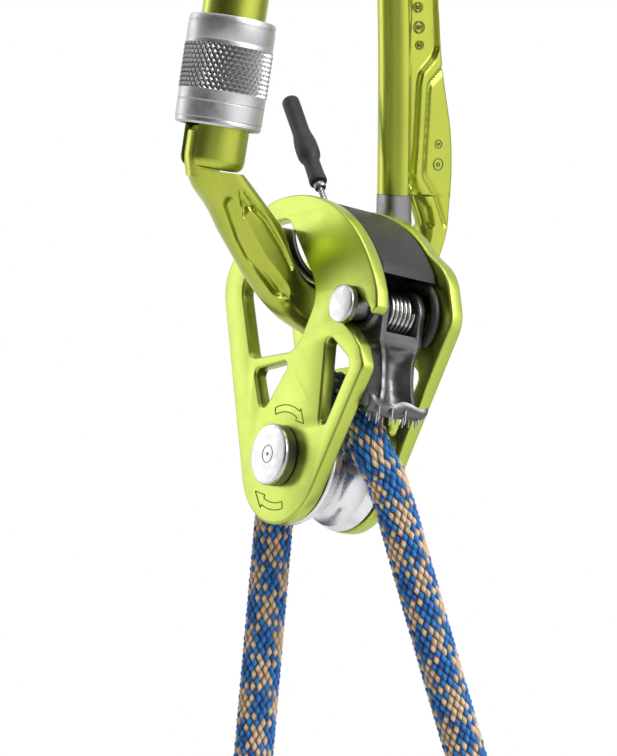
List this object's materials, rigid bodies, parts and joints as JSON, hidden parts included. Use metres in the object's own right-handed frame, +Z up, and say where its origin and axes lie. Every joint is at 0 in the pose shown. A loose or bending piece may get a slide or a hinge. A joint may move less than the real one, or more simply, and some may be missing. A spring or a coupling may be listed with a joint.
{
  "type": "rope clamp pulley on a locking carabiner",
  "caption": "Progress-capture pulley: sheave between two side plates with a sprung toothed rope cam, hung on a screw-lock carabiner, rope threaded over the sheave.",
  "frame": {"origin": "the inside top of the carabiner's crown, the point the whole object hangs from", "axes": "+Z up; the side plates are square to Y, with the rear plate towards +Y and the cam towards +X; the sheave turns about Y"},
  "size_m": [0.0558, 0.088, 0.2271],
  "materials": {
    "carabiner_green": "lime green anodised aluminium, satin",
    "plate_green": "lime green anodised aluminium plate, satin",
    "gate_green": "lime green anodised aluminium tube, satin",
    "polished_aluminium": "turned and polished",
    "bright_steel": "bright turned steel",
    "dark_steel": "dark grey cast steel, satin",
    "spring_steel": "drawn spring wire",
    "satin_silver": "satin silver anodised, knurled",
    "black_plastic": "black moulded plastic, fine grain",
    "black_rubber": "black rubber, matte",
    "cable_steel": "stranded steel cable",
    "rope_fabric": "braided blue and tan polyamide sheath"
  },
  "bodies": {
    "carabiner": {"carabiner_body": "carabiner_green", "wear_insert": "bright_steel", "gate_pin": "bright_steel"},
    "gate": {"gate": "gate_green", "gate_plunger": "bright_steel", "gate_spring": "spring_steel"},
    "sleeve": {"sleeve": "satin_silver"},
    "pulley": {"rear_plate": "plate_green", "cover": "black_plastic", "cover_rivet_1": "bright_steel", "cover_rivet_2": "bright_steel", "sheave_axle": "bright_steel", "axle_collar": "bright_steel", "cam_axle": "bright_steel", "cam_axle_collar": "bright_steel", "bearing_inner_ring": "bright_steel", "bearing_shield_front": "dark_steel", "bearing_shield_rear": "dark_steel", "bearing_balls": "bright_steel", "cam_spring": "spring_steel", "rope_over_sheave": "rope_fabric", "rope_left_strand": "rope_fabric", "rope_right_strand": "rope_fabric", "knot_left": "rope_fabric", "knot_right": "rope_fabric"},
    "front_plate": {"front_plate": "plate_green"},
    "sheave": {"sheave": "polished_aluminium", "bearing_outer_ring": "bright_steel"},
    "cam": {"cam": "dark_steel", "release_cable_inner": "black_plastic"},
    "release": {"release_cable": "cable_steel", "release_grip": "black_rubber", "cable_ferrule": "bright_steel"}
  },
  "joints": [
    {"name": "device_swing", "type": "hinge", "parent": "carabiner", "child": "pulley", "pos_m": [-0.0192, 0.02247, -0.08304], "axis": [0, 1, 0], "range_deg": [-20, 10]},
    {"name": "front_plate_swing", "type": "hinge", "parent": "pulley", "child": "front_plate", "pos_m": [-0.0167, 0.02247, -0.12654], "axis": [0, -1, 0], "range_deg": [0, 0.8]},
    {"name": "sheave_spin", "type": "hinge", "parent": "pulley", "child": "sheave", "pos_m": [-0.0167, 0.02247, -0.12654], "axis": [0, 1, 0], "continuous": true},
    {"name": "cam_swing", "type": "hinge", "parent": "pulley", "child": "cam", "pos_m": [0.0017, 0.02247, -0.09814], "axis": [0, -1, 0], "range_deg": [0, 50], "stiffness_Nm_per_rad": 0.05, "springref_deg": -34.38},
    {"name": "release_pull", "type": "slide", "parent": "pulley", "child": "release", "axis": [-0.5446, 0, 0.8387], "range_m": [0, 0.0062]},
    {"name": "gate_swing", "type": "hinge", "parent": "carabiner", "child": "gate", "pos_m": [-0.00368, -0.01375, -0.01545], "axis": [0.9728, 0, -0.2317], "range_deg": [0, 20], "stiffness_Nm_per_rad": 0.05, "springref_deg": -34.38},
    {"name": "sleeve_travel", "type": "slide", "parent": "gate", "child": "sleeve", "axis": [-0.231, 0.0802, -0.9696], "range_m": [0, 0.0055]}
  ],
  "couplings": [
    {"joint": "release_pull", "follows": "cam_swing", "m_per_rad": 0.007}
  ]
}
